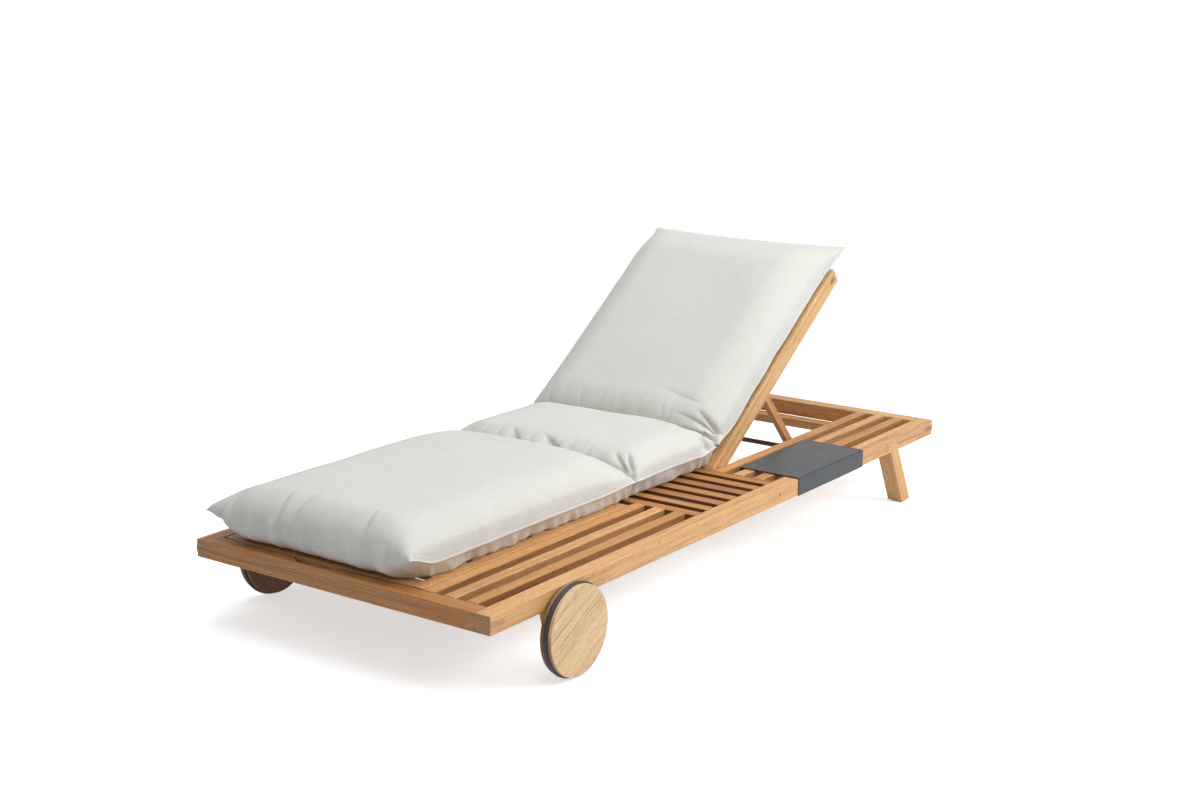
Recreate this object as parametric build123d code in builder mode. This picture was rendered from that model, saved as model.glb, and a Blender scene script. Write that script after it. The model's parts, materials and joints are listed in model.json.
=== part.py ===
"""A low timber sun lounger on wheels, with a slatted side shelf, a sliding tray and a three-part mattress.

Millimetres. X runs across the lounger, Y from the foot end to the head end, and Z up.
The origin is on the floor, under the middle of the frame.
"""
import os
from math import acos, asin, atan2, cos, degrees, hypot, radians, sin, sqrt, tan

from build123d import *

# Frame
length = 2050
width = 893
deck_height = 214
rail = 45
edge_round = 3.5
leg_bay_share = 0.3893
overrun = 2

# Side shelf and seat
bar_count = 3
bar_width = 33
bar_gap = 27.5
slat_count = 7
slat_width = 32
slat_gap = 23.6
slat_round = 2.5
stub_length = 12
stub_width = 20
stub_height = 25

# Finger scoop in the foot rail
scoop_length = 156
scoop_depth = 25
scoop_ramp = 34
scoop_round = 28
scoop_lip_round = 12

# Lower battens
batten_width = 60
batten_height = 40
cross_batten_width = 40
cross_batten_height = 25
foot_batten_setback = 100
track_wall = 35
track_margin = 14
seat_groove_width = 10
seat_groove_depth = 3
screw_radius = 2.25
screw_grip = 18
screw_head_radius = 4.5
screw_head_height = 3

# Folding panels, which are the backrest and the leg rest
panel_side_gap = 2.6
panel_end_gap = 3
stile_width = 34
panel_rail_width = 45
panel_low_rail_width = 34
panel_low_rail_setback = 26
panel_slat_width = 45
panel_slat_thickness = 12
panel_slat_gap = 26
panel_stub = 8
through_tenon_height = 26
hinge_setback = 11.3
heel_gap = 1.5
heel_round = 30
hinge_pin_radius = 5
hinge_pin_grip = 25
hinge_pin_reach = 30
running_clearance = 0.08
rest_clearance = 0.3

# Backrest prop
backrest_angle = 35.7
backrest_highest = 45
setting_angles = (18, 27, backrest_angle, backrest_highest)
prop_pivot_share = 0.441
prop_pivot_drop = 3.5
prop_length_share = 0.39
prop_lean = 41.1
prop_depth = 24
prop_thickness = 18
prop_side_gap = 1
prop_rod_radius = 7
prop_pin_radius = 4
prop_pin_grip = 20

# Leg rest prop
leg_rest_highest = 20
leg_prop_pivot_share = 0.51
leg_prop_length_share = 0.3265
leg_prop_clearance = 1

# Wheels
wheel_radius = 109
disc_radius = 105
disc_thickness = 9.5
tyre_width = 12
tyre_seat_radius = 88
tyre_round = 4.5
disc_round = 1.8
wheel_gap = 4
wheel_setback = 266
bracket_half_width = 50
bracket_foot_radius = 34
axle_radius = 7
axle_head_radius = 14
axle_head_height = 6
axle_head_gap = 1
axle_grip = 6
bush_wall = 3
bush_flange = 2.2
bush_flange_radius = 16

# Head legs
leg_setback = 128
leg_foot_width = 46
leg_lean = 26.4
leg_lap_depth = 15
leg_lap_drop = 8
glide_height = 4.5
glide_length = 30
glide_width = 32
glide_round = 1.5

# Tray
tray_length = 349
tray_start = 59.4
tray_sheet = 2.5
tray_side_clearance = 0.3
tray_lip = 18
tray_lip_inset = 11.5
tray_bend = 5
tray_pad_thickness = 1
tray_pad_width = 8
tray_pad_inset = 10

# Mattress
pad_left_reach = 22
pad_right_setback = 6
pad_leg_crown = 126
pad_seat_crown = 122
pad_back_crown = 105
pad_leg_seam = 40
pad_seat_seam = 45
pad_back_seam = 14
pad_foot_tip = 62
pad_fold_tip = 48
pad_seat_end_tip = 58
pad_back_low_tip = 36
pad_back_top_tip = 22
pad_end_roll = 90
pad_top_taper = 160
pad_foot_inset = 16
pad_overhang = 52
pad_edge_half = 3
pad_contact_inset = 24
pad_shoulder = 95
pad_tip_reach = 8
pad_draw_in = 5
pad_seat_front_gap = 7
pad_leg_end_gap = 23
pad_seat_end_gap = 12
pad_back_start = 66

# Shares along a mattress section's rolled or tapered end: its place, the top's fullness, the underside's drop
pad_roll_shares = ((0, 0, 0), (0.08, 0.36, 0.35), (0.25, 0.64, 0.75), (0.55, 0.88, 1), (1, 1, 1))
pad_taper_shares = ((0, 0, 0), (0.08, 0.14, 0.7), (0.25, 0.42, 1), (0.55, 0.8, 1), (1, 1, 1))
# Shares of the top panel's rise at the shoulder, and at the middle of the side roll across and up
pad_shoulder_share = 0.94
pad_roll_across_share = 0.23
pad_roll_up_share = 0.61

# Planes and lines that the pieces share
left_face = -width / 2
right_face = width / 2
foot_face = -length / 2
head_face = length / 2
deck = deck_height
under = deck_height - rail
bed_left = left_face + rail
bed_right = right_face - rail - bar_count * (bar_width + bar_gap)
foot_inner = foot_face + rail
head_inner = head_face - rail
seat_front = foot_inner + length * leg_bay_share
seat_back = seat_front + slat_count * slat_width + (slat_count - 1) * slat_gap
hinge_z = deck - rail / 2
backrest_y = seat_back + hinge_setback
leg_rest_y = seat_front - hinge_setback
heel_reach = hinge_setback - heel_gap
panel_left = bed_left + panel_side_gap
panel_right = bed_right - panel_side_gap
panel_middle = (panel_left + panel_right) / 2
backrest_length = head_inner - panel_end_gap - backrest_y
leg_rest_length = leg_rest_y - foot_inner - panel_end_gap
prop_pivot_along = backrest_length * prop_pivot_share
prop_length = backrest_length * prop_length_share
leg_prop_pivot_along = leg_rest_length * leg_prop_pivot_share
leg_prop_length = leg_rest_length * leg_prop_length_share
tenon = rail / 3
panel_low = rest_clearance - rail / 2
batten_low = under - batten_height
cross_batten_low = under - cross_batten_height
foot_batten_y = foot_face + foot_batten_setback
axle_seat = rail - axle_head_height - 2 * rest_clearance
wheel_y = foot_face + wheel_setback

# The two folding panels' own frames: X across, Y along the panel from its hinge, Z out of its face
tilt = radians(backrest_angle)
backrest_frame = Plane(origin=(0, backrest_y, hinge_z), x_dir=(1, 0, 0), z_dir=(0, -sin(tilt), cos(tilt)))
leg_rest_frame = Plane(origin=(0, leg_rest_y, hinge_z), x_dir=(-1, 0, 0), z_dir=(0, 0, 1))


def keep(piece, label):
    """Names a finished piece and writes it to its own file."""
    piece.part.label = label
    export_step(piece.part, f"parts/{label}.step")


def middle(span):
    return (span[0] + span[1]) / 2


def extent(span):
    return abs(span[1] - span[0])


def block(x, y, z, mode=Mode.ADD):
    """A square block that fills three spans, in the frame of the piece it is called in."""
    with Locations((middle(x), middle(y), middle(z))):
        Box(extent(x), extent(y), extent(z), mode=mode)


def peg(centre, span, radius, axis, mode=Mode.ADD):
    """A cylinder over a span of X or of Z, about a centre given as the other two places."""
    if axis == "X":
        with Locations(Location((middle(span), *centre), (0, 90, 0))):
            Cylinder(radius, extent(span), mode=mode)
    else:
        with Locations((*centre, middle(span))):
            Cylinder(radius, extent(span), mode=mode)


def timber(label, x, y, z, along, frame=Plane.XY, ease=slat_round, adds=(), cuts=(), holes=()):
    """A straight length of timber with its long edges eased, and its own tenons, mortises and holes."""
    direction = frame.x_dir if along == "X" else frame.y_dir
    with BuildPart(frame) as piece:
        with BuildSketch(frame.offset(z[0])):
            with Locations((middle(x), middle(y))):
                Rectangle(extent(x), extent(y))
        extrude(amount=extent(z))
        fillet(piece.edges().filter_by(Axis(frame.origin, direction)), ease)
        for spans in adds:
            block(*spans)
        for spans in cuts:
            block(*spans, mode=Mode.SUBTRACT)
        for centre, span, radius, axis in holes:
            peg(centre, span, radius, axis, mode=Mode.SUBTRACT)
    keep(piece, label)


def stub(x, y, z, axis):
    """The spans of a stub tenon or its mortise, full length in one axis and centred in the others."""
    half_width, half_height = stub_width / 2, stub_height / 2
    zs = (middle(z) - half_height, middle(z) + half_height)
    if axis == "X":
        return (x, (middle(y) - half_width, middle(y) + half_width), zs)
    return ((middle(x) - half_width, middle(x) + half_width), y, zs)


def slat_span(index):
    start = seat_front + index * (slat_width + slat_gap)
    return (start, start + slat_width)


def bar_span(index):
    start = bed_right + index * (bar_width + bar_gap)
    return (start, start + bar_width)


os.makedirs("parts", exist_ok=True)

deck_span = (under, deck)
tenon_span = (hinge_z - tenon / 2, hinge_z + tenon / 2)
slats = [slat_span(index) for index in range(slat_count)]
bars = [bar_span(index) for index in range(bar_count)]
batten_y = (foot_batten_y + cross_batten_width, head_inner - cross_batten_width)
batten_left = (bed_left, bed_left + batten_width)
batten_right = (bed_right - batten_width, bed_right)

# The head leg's outline, in Y and Z, with its lean away from the seat as it goes down
slope = tan(radians(leg_lean))
leg_heel_y = head_face - leg_setback
leg_toe_y = leg_heel_y - leg_foot_width
leg_top_z = deck - leg_lap_drop
leg_top_y = leg_heel_y - leg_top_z * slope
leg_face = leg_foot_width * cos(radians(leg_lean))
leg_shoulder_y = leg_top_y - leg_face * cos(radians(leg_lean))
leg_shoulder_z = leg_top_z - leg_face * sin(radians(leg_lean))


def leg_outline(bottom):
    """The leg's side outline, from a height upwards."""
    Polyline(
        (leg_toe_y - bottom * slope, bottom),
        (leg_heel_y - bottom * slope, bottom),
        (leg_top_y, leg_top_z),
        (leg_shoulder_y, leg_shoulder_z),
        close=True,
    )


# The prop's places. Its foot stands on a track in the lower battens.
pivot_y = backrest_y + prop_pivot_along * cos(tilt) + prop_pivot_drop * sin(tilt)
pivot_z = hinge_z + prop_pivot_along * sin(tilt) - prop_pivot_drop * cos(tilt)
prop_foot_y = pivot_y + prop_length * sin(radians(prop_lean))
prop_foot_z = pivot_z - prop_length * cos(radians(prop_lean))
track_z = prop_foot_z - prop_depth / 2 - rest_clearance


def foot_place(angle):
    """Where the prop's foot stands along the lounger when the backrest is at an angle."""
    turn = radians(angle)
    top_y = backrest_y + prop_pivot_along * cos(turn) + prop_pivot_drop * sin(turn)
    top_z = hinge_z + prop_pivot_along * sin(turn) - prop_pivot_drop * cos(turn)
    return top_y + sqrt(prop_length ** 2 - (top_z - prop_foot_z) ** 2)


groove_places = [foot_place(angle) for angle in setting_angles]
track_y = (
    foot_place(backrest_highest) - prop_depth - track_margin,
    backrest_y + prop_pivot_along + prop_length + prop_depth / 2 + track_margin,
)

# Hinge pin places, as a centre and the reach of the pin on each side of the bed
pin_left = (bed_left - hinge_pin_grip, panel_left + hinge_pin_reach)
pin_right = (panel_right - hinge_pin_reach, bed_right + hinge_pin_grip)
hinge_places = {"backrest": (backrest_y, hinge_z), "leg_rest": (leg_rest_y, hinge_z)}


# Side rails, slotted at both ends for the corner joints and mortised for the slats
def side_rail(label, outer, inner, hinged):
    sign = 1 if inner > outer else -1
    with BuildPart() as piece:
        with BuildSketch(Plane.XY.offset(under)):
            with Locations((middle((outer, inner)), 0)):
                Rectangle(rail, length)
        extrude(amount=rail)
        fillet(piece.edges().filter_by(Axis.Y), edge_round)
        fillet(piece.edges().group_by(Axis.Y)[0].filter_by(Axis.X), edge_round)
        fillet(piece.edges().group_by(Axis.Y)[-1].filter_by(Axis.X), edge_round)
        for y in ((foot_face - overrun, foot_inner), (head_inner, head_face + overrun)):
            block((outer - sign * overrun, inner + sign * overrun), y, tenon_span, mode=Mode.SUBTRACT)
        for span in slats:
            mortise_x = (inner - sign * stub_length, inner + sign * overrun)
            block(*stub(mortise_x, span, deck_span, "X"), mode=Mode.SUBTRACT)
        with BuildSketch(Plane.YZ.offset(outer)):
            with BuildLine():
                leg_outline(under - overrun)
            make_face()
        extrude(amount=sign * leg_lap_depth, mode=Mode.SUBTRACT)
        if hinged:
            # The lower inner edge stays square where the support batten lies along it
            square_edge = (inner - sign * edge_round, inner)
            block(square_edge, batten_y, (under, under + edge_round))
            for centre in hinge_places.values():
                bore = (inner - sign * hinge_pin_grip, inner + sign * overrun)
                peg(centre, bore, hinge_pin_radius, "X", Mode.SUBTRACT)
    keep(piece, label)


side_rail("side_rail_left", left_face, bed_left, hinged=True)
side_rail("side_rail_right", right_face, right_face - rail, hinged=False)


# Foot and head rails, with a tenon through each side rail and mortises for the shelf bars
def end_rail_joints(y, inner, sign):
    """Adds an end rail's two tenons over a span of y, and cuts the bars' mortises in its inner face."""
    for x in ((left_face, bed_left), (right_face - rail, right_face)):
        block(x, y, tenon_span)
    for bar in bars:
        mortise_y = (inner + sign * overrun, inner - sign * stub_length)
        block(*stub(bar, mortise_y, deck_span, "Y"), mode=Mode.SUBTRACT)


with BuildPart() as foot_rail:
    with BuildSketch(Plane.XY.offset(under)) as foot_rail_plan:
        with Locations((0, foot_face + rail / 2)):
            Rectangle(width - 2 * rail, rail)
        with BuildLine():
            Polyline(
                (panel_middle - scoop_length / 2, foot_inner),
                (panel_middle - scoop_length / 2 + scoop_ramp, foot_inner - scoop_depth),
                (panel_middle + scoop_length / 2 - scoop_ramp, foot_inner - scoop_depth),
                (panel_middle + scoop_length / 2, foot_inner),
                close=True,
            )
        make_face(mode=Mode.SUBTRACT)
        fillet(foot_rail_plan.vertices().group_by(Axis.Y)[1], scoop_round)
        fillet(foot_rail_plan.vertices().group_by(Axis.Y)[-1].sort_by(Axis.X)[1:-1], scoop_lip_round)
    extrude(amount=rail)
    fillet(foot_rail.edges().filter_by(Axis.Y, reverse=True).filter_by(Axis.Z, reverse=True), edge_round)
    end_rail_joints((foot_face, foot_inner), foot_inner, 1)
keep(foot_rail, "foot_rail")

with BuildPart() as head_rail:
    with BuildSketch(Plane.XY.offset(under)):
        with Locations((0, head_face - rail / 2)):
            Rectangle(width - 2 * rail, rail)
    extrude(amount=rail)
    fillet(head_rail.edges().filter_by(Axis.X), edge_round)
    end_rail_joints((head_inner, head_face), head_inner, -1)
keep(head_rail, "head_rail")

# Shelf bars in line on both sides of the seat slats
for index, bar in enumerate(bars):
    for end, y in (("foot", (foot_inner, seat_front)), ("head", (seat_back, head_inner))):
        hinge_y = hinge_places["leg_rest" if end == "foot" else "backrest"][0]
        pin_hole = ((hinge_y, hinge_z), (bar[0] - overrun, bar[0] + hinge_pin_grip), hinge_pin_radius, "X")
        timber(
            f"shelf_bar_{end}_{index + 1}", bar, y, deck_span, "Y",
            adds=[stub(bar, (y[0] - stub_length, y[0]), deck_span, "Y"),
                  stub(bar, (y[1], y[1] + stub_length), deck_span, "Y")],
            holes=[pin_hole] if index == 0 else [],
        )

# Seat slats across the whole frame
for index, span in enumerate(slats):
    bar_mortises = []
    if index == 0:
        mortise_y = (span[0] - overrun, span[0] + stub_length)
        bar_mortises = [stub(bar, mortise_y, deck_span, "Y") for bar in bars]
    if index == slat_count - 1:
        mortise_y = (span[1] - stub_length, span[1] + overrun)
        bar_mortises = [stub(bar, mortise_y, deck_span, "Y") for bar in bars]
    inner = (bed_left, right_face - rail)
    timber(
        f"seat_slat_{index + 1}", inner, span, deck_span, "X",
        adds=[stub((inner[0] - stub_length, inner[0]), span, deck_span, "X"),
              stub((inner[1], inner[1] + stub_length), span, deck_span, "X")],
        cuts=bar_mortises,
        holes=[((middle(x), middle(span)), (under - overrun, under + screw_grip), screw_radius, "Z")
               for x in (batten_left, batten_right)],
    )


# Lower battens, with the track that the prop's feet stand on
def support_batten(label, x, track_x):
    y = batten_y
    half_groove = seat_groove_width / 2
    groove_z = (track_z - seat_groove_depth, under)
    grooves = [(track_x, (place - half_groove, place + half_groove), groove_z) for place in groove_places]
    with BuildPart() as piece:
        with BuildSketch(Plane.XY.offset(batten_low)):
            with Locations((middle(x), middle(y))):
                Rectangle(extent(x), extent(y))
        extrude(amount=batten_height)
        fillet(piece.edges().group_by(Axis.Z)[0].filter_by(Axis.Y), slat_round)
        block(track_x, track_y, (track_z, under + overrun), mode=Mode.SUBTRACT)
        for spans in grooves:
            block(*spans, mode=Mode.SUBTRACT)
        for span in slats:
            centre = (middle(x), middle(span))
            peg(centre, (batten_low - overrun, under + overrun), screw_radius, "Z", Mode.SUBTRACT)
            countersink = (batten_low - overrun, batten_low + screw_head_height)
            peg(centre, countersink, screw_head_radius, "Z", Mode.SUBTRACT)
    keep(piece, label)


track_left = (batten_left[0] + track_wall, batten_left[1] + overrun)
track_right = (batten_right[0] - overrun, batten_right[1] - track_wall)
support_batten("support_batten_left", batten_left, track_left)
support_batten("support_batten_right", batten_right, track_right)

timber("foot_cross_batten", (bed_left - rail / 2, bars[-1][1]),
       (foot_batten_y, foot_batten_y + cross_batten_width), (cross_batten_low, under), "X")
timber("head_cross_batten", (bed_left - rail / 2, bars[-1][1]),
       (head_inner - cross_batten_width, head_inner), (cross_batten_low, under), "X")

with BuildPart() as batten_screws:
    for x in (batten_left, batten_right):
        for span in slats:
            centre = (middle(x), middle(span))
            peg(centre, (batten_low, under + screw_grip), screw_radius, "Z")
            peg(centre, (batten_low, batten_low + screw_head_height), screw_head_radius, "Z")
keep(batten_screws, "batten_screws")


# Head legs, lapped into the outer faces of the side rails, and their glides
def head_leg(label, outer, sign):
    with BuildPart() as piece:
        with BuildSketch(Plane.YZ.offset(outer)):
            with BuildLine():
                leg_outline(glide_height)
            make_face()
        extrude(amount=sign * rail)
        inner = (outer + sign * leg_lap_depth, outer + sign * (rail + overrun))
        block(inner, (foot_face, head_face), (under, deck + overrun), mode=Mode.SUBTRACT)
        fillet(piece.edges().group_by(Axis.Z)[0].filter_by(Axis.Y), glide_round)
    keep(piece, label)


head_leg("head_leg_left", left_face, 1)
head_leg("head_leg_right", right_face, -1)

with BuildPart() as leg_glides:
    glide_y = middle((leg_toe_y, leg_heel_y)) - glide_height * slope
    with BuildSketch():
        with Locations((left_face + rail / 2, glide_y), (right_face - rail / 2, glide_y)):
            RectangleRounded(glide_width, glide_length, glide_round)
    extrude(amount=glide_height)
keep(leg_glides, "leg_glides")


# Wheel brackets under the side rails
def wheel_bracket(label, outer, sign):
    rise = under - wheel_radius
    reach = hypot(bracket_half_width, rise)
    touch = atan2(rise, bracket_half_width) - acos(bracket_foot_radius / reach)
    touch_y = bracket_foot_radius * cos(touch)
    touch_z = wheel_radius + bracket_foot_radius * sin(touch)
    with BuildPart() as piece:
        with BuildSketch(Plane.YZ.offset(outer)):
            with BuildLine():
                Polyline(
                    (wheel_y - touch_y, touch_z),
                    (wheel_y - bracket_half_width, under),
                    (wheel_y + bracket_half_width, under),
                    (wheel_y + touch_y, touch_z),
                )
                ThreePointArc(
                    (wheel_y + touch_y, touch_z),
                    (wheel_y, wheel_radius - bracket_foot_radius),
                    (wheel_y - touch_y, touch_z),
                )
            make_face()
        extrude(amount=sign * rail)
        fillet(piece.faces().sort_by(Axis.Z)[:-1].edges().filter_by(GeomType.CIRCLE), slat_round)
        span = (outer - sign * overrun, outer + sign * (rail + overrun))
        peg((wheel_y, wheel_radius), span, axle_radius + bush_wall, "X", Mode.SUBTRACT)
        counterbore = (outer + sign * axle_seat, outer + sign * (rail + overrun))
        peg((wheel_y, wheel_radius), counterbore, axle_head_radius + axle_head_gap, "X", Mode.SUBTRACT)
    keep(piece, label)


wheel_bracket("wheel_bracket_left", left_face, 1)
wheel_bracket("wheel_bracket_right", right_face, -1)

with BuildPart() as axle_bushes:
    axle = (wheel_y, wheel_radius)
    for outer, sign in ((left_face, 1), (right_face, -1)):
        peg(axle, (outer, outer + sign * axle_seat), axle_radius + bush_wall, "X")
        peg(axle, (outer - sign * bush_flange, outer), bush_flange_radius, "X")
        bore = (outer - sign * (bush_flange + overrun), outer + sign * (rail + overrun))
        peg(axle, bore, axle_radius + running_clearance, "X", Mode.SUBTRACT)
keep(axle_bushes, "axle_bushes")


# Wheels, each two discs that clamp a ring of rubber, on a bolt that turns in the bracket's bush
def wheel(side, outer, sign):
    axle = (wheel_y, wheel_radius)
    near = outer - sign * wheel_gap
    seat = near - sign * disc_thickness
    cover = seat - sign * tyre_width
    far = cover - sign * disc_thickness
    blind = cover - sign * axle_grip
    with BuildPart() as inner_disc:
        peg(axle, (near, seat), disc_radius, "X")
        fillet(inner_disc.edges().filter_by(GeomType.CIRCLE), disc_round)
        peg(axle, (seat, cover), tyre_seat_radius, "X")
        peg(axle, (near + sign * overrun, cover - sign * overrun), axle_radius, "X", Mode.SUBTRACT)
    keep(inner_disc, f"wheel_{side}_inner_disc")
    with BuildPart() as outer_disc:
        peg(axle, (cover, far), disc_radius, "X")
        fillet(outer_disc.edges().filter_by(GeomType.CIRCLE), disc_round)
        peg(axle, (cover + sign * overrun, blind), axle_radius, "X", Mode.SUBTRACT)
    keep(outer_disc, f"wheel_{side}_outer_disc")
    with BuildPart() as tyre:
        peg(axle, (seat, cover), wheel_radius, "X")
        fillet(tyre.edges().filter_by(GeomType.CIRCLE), tyre_round)
        peg(axle, (seat + sign * overrun, cover - sign * overrun), tyre_seat_radius, "X", Mode.SUBTRACT)
    keep(tyre, f"wheel_{side}_tyre")
    head = outer + sign * (axle_seat + rest_clearance)
    with BuildPart() as axle_bolt:
        peg(axle, (head, blind), axle_radius, "X")
        peg(axle, (head, head + sign * axle_head_height), axle_head_radius, "X")
        rims = axle_bolt.edges().filter_by(GeomType.CIRCLE).sort_by(Axis.X)
        fillet(rims[-1] if sign > 0 else rims[0], glide_round)
    keep(axle_bolt, f"axle_bolt_{side}")


wheel("left", left_face, 1)
wheel("right", right_face, -1)

# Tray, a bent sheet over the right rail and the two outer bars, and its glide strips
tray_y = (seat_back + tray_start, seat_back + tray_start + tray_length)
tray_low = deck + rest_clearance + tray_pad_thickness
tray_left = bars[1][0] - tray_lip_inset - tray_sheet
tray_right = right_face + tray_side_clearance + tray_sheet
with BuildPart() as tray:
    with BuildSketch(Plane.XZ.offset(-tray_y[1])) as tray_profile:
        with BuildLine():
            Polyline(
                (tray_left, deck - tray_lip),
                (tray_left, tray_low + tray_sheet),
                (tray_right, tray_low + tray_sheet),
                (tray_right, under),
                (tray_right - tray_sheet, under),
                (tray_right - tray_sheet, tray_low),
                (tray_left + tray_sheet, tray_low),
                (tray_left + tray_sheet, deck - tray_lip),
                close=True,
            )
        make_face()
        inner_bends = tray_profile.vertices().group_by(Axis.Y)[-2]
        fillet(inner_bends, tray_bend - tray_sheet)
        fillet(tray_profile.vertices().group_by(Axis.Y)[-1], tray_bend)
    extrude(amount=tray_length)
keep(tray, "tray")

with BuildPart() as tray_glides:
    for x in (middle(bars[1]), middle(bars[2]), right_face - rail / 2):
        block((x - tray_pad_width / 2, x + tray_pad_width / 2),
              (tray_y[0] + tray_pad_inset, tray_y[1] - tray_pad_inset), (deck + rest_clearance, tray_low))
keep(tray_glides, "tray_glides")


# Folding panels: two stiles with rounded heels, two rails and slats between them
def panel_slats(panel_length):
    """The places of a panel's slats along it, between its low rail and its end rail."""
    start = panel_low_rail_setback + panel_low_rail_width
    room = panel_length - panel_rail_width - start
    count = int((room - panel_slat_gap) // (panel_slat_width + panel_slat_gap))
    gap = (room - count * panel_slat_width) / (count + 1)
    return [start + gap + index * (panel_slat_width + gap) for index in range(count)]


def stile(label, frame, x, panel_length, inner, prop_hole):
    """A stile whose inner side, given as a sign, takes the rails, the slats and the prop's pin."""
    half = rail / 2
    face = x[1] if inner > 0 else x[0]
    side = Plane(origin=frame.from_local_coords(Vector(x[0], 0, 0)), x_dir=frame.y_dir, z_dir=frame.x_dir)
    with BuildPart(frame) as piece:
        with BuildSketch(side):
            with BuildLine():
                Line((-heel_reach, half - heel_round), (-heel_reach, panel_low + heel_reach))
                RadiusArc((-heel_reach, panel_low + heel_reach), (0, panel_low), -heel_reach)
                Polyline((0, panel_low), (panel_length, panel_low), (panel_length, half),
                         (heel_round - heel_reach, half))
                RadiusArc((heel_round - heel_reach, half), (-heel_reach, half - heel_round), -heel_round)
            make_face()
        extrude(amount=extent(x))
        fillet(piece.edges().filter_by(Axis(frame.origin, frame.y_dir)), slat_round)
        end = (panel_length - panel_rail_width / 2 - through_tenon_height / 2,
               panel_length - panel_rail_width / 2 + through_tenon_height / 2)
        block((x[0] - overrun, x[1] + overrun), end, (-tenon / 2, tenon / 2), mode=Mode.SUBTRACT)
        low = (panel_low_rail_setback, panel_low_rail_setback + panel_low_rail_width)
        pocket = (face - inner * stub_length, face + inner * overrun)
        block(*stub(pocket, low, (panel_low, half), "X"), mode=Mode.SUBTRACT)
        for start in panel_slats(panel_length):
            block((face - inner * panel_stub, face + inner * overrun), (start, start + panel_slat_width),
                  (half - panel_slat_thickness, half + overrun), mode=Mode.SUBTRACT)
        bore = (x[0] - overrun, x[1] + overrun)
        peg((0, 0), bore, hinge_pin_radius + running_clearance, "X", Mode.SUBTRACT)
        place, drop = prop_hole
        blind = (face - inner * prop_pin_grip, face + inner * overrun)
        peg((place, -drop), blind, prop_pin_radius, "X", Mode.SUBTRACT)
    keep(piece, label)


def panel(name, frame, panel_length, x, prop_hole):
    """The five nodes of a folding panel. The spans of x are in the panel's own frame."""
    half = rail / 2
    low_x, high_x = (x[0], x[0] + stile_width), (x[1] - stile_width, x[1])
    sides = ("left", "right") if frame.x_dir.X > 0 else ("right", "left")
    stile(f"{name}_stile_{sides[0]}", frame, low_x, panel_length, 1, prop_hole)
    stile(f"{name}_stile_{sides[1]}", frame, high_x, panel_length, -1, prop_hole)
    inner = (low_x[1], high_x[0])
    end_y = (panel_length - panel_rail_width, panel_length)
    tenon_y = (middle(end_y) - through_tenon_height / 2, middle(end_y) + through_tenon_height / 2)
    timber(f"{name}_end_rail", inner, end_y, (panel_low, half), "X", frame,
           adds=[(x, tenon_y, (-tenon / 2, tenon / 2))])
    low_y = (panel_low_rail_setback, panel_low_rail_setback + panel_low_rail_width)
    timber(f"{name}_low_rail", inner, low_y, (panel_low, half), "X", frame,
           adds=[stub((inner[0] - stub_length, inner[0]), low_y, (panel_low, half), "X"),
                 stub((inner[1], inner[1] + stub_length), low_y, (panel_low, half), "X")])
    with BuildPart(frame) as slat_set:
        for start in panel_slats(panel_length):
            block((inner[0] - panel_stub, inner[1] + panel_stub), (start, start + panel_slat_width),
                  (half - panel_slat_thickness, half))
    keep(slat_set, f"{name}_slats")
    with BuildPart(frame) as pins:
        place, drop = prop_hole
        for face, sign in ((inner[0], 1), (inner[1], -1)):
            reach = face + sign * (prop_side_gap + prop_thickness)
            peg((place, -drop), (face - sign * prop_pin_grip, reach), prop_pin_radius, "X")
    keep(pins, f"{name}_prop_pins")


backrest_pivot = (prop_pivot_along, prop_pivot_drop)
leg_rest_pivot = (leg_prop_pivot_along, prop_pivot_drop)
panel("backrest", backrest_frame, backrest_length, (panel_left, panel_right), backrest_pivot)
panel("leg_rest", leg_rest_frame, leg_rest_length, (-panel_right, -panel_left), leg_rest_pivot)

with BuildPart() as hinge_pins:
    for centre in hinge_places.values():
        peg(centre, pin_left, hinge_pin_radius, "X")
        peg(centre, pin_right, hinge_pin_radius, "X")
keep(hinge_pins, "hinge_pins")


# Props: two arms that swing on pins in the stiles, joined by a rod at their feet
def arm(frame, x, arm_length):
    """One prop arm in its own frame, whose Y runs from the pivot to the foot."""
    side = Plane(origin=frame.from_local_coords(Vector(x[0], 0, 0)), x_dir=frame.y_dir, z_dir=frame.x_dir)
    half = prop_depth / 2
    with BuildPart(frame, mode=Mode.PRIVATE) as piece:
        with BuildSketch(side):
            with Locations((arm_length / 2, 0)):
                SlotCenterToCenter(arm_length, prop_depth)
        extrude(amount=extent(x))
        bore = (x[0] - overrun, x[1] + overrun)
        peg((0, 0), bore, prop_pin_radius + running_clearance, "X", Mode.SUBTRACT)
        peg((arm_length, 0), bore, prop_rod_radius, "X", Mode.SUBTRACT)
        fillet(piece.edges().filter_by(Axis(frame.origin, frame.y_dir)), slat_round)
    return piece


def prop(name, frame, x, arm_length):
    """A prop's arms and rod. The span of x is in the prop's own frame."""
    left = arm(frame, (x[0], x[0] + prop_thickness), arm_length)
    right = arm(frame, (x[1] - prop_thickness, x[1]), arm_length)
    sides = ("left", "right") if frame.x_dir.X > 0 else ("right", "left")
    keep(left, f"{name}_arm_{sides[0]}")
    keep(right, f"{name}_arm_{sides[1]}")
    with BuildPart(frame) as rod:
        peg((arm_length, 0), x, prop_rod_radius, "X")
    keep(rod, f"{name}_rod")


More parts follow.
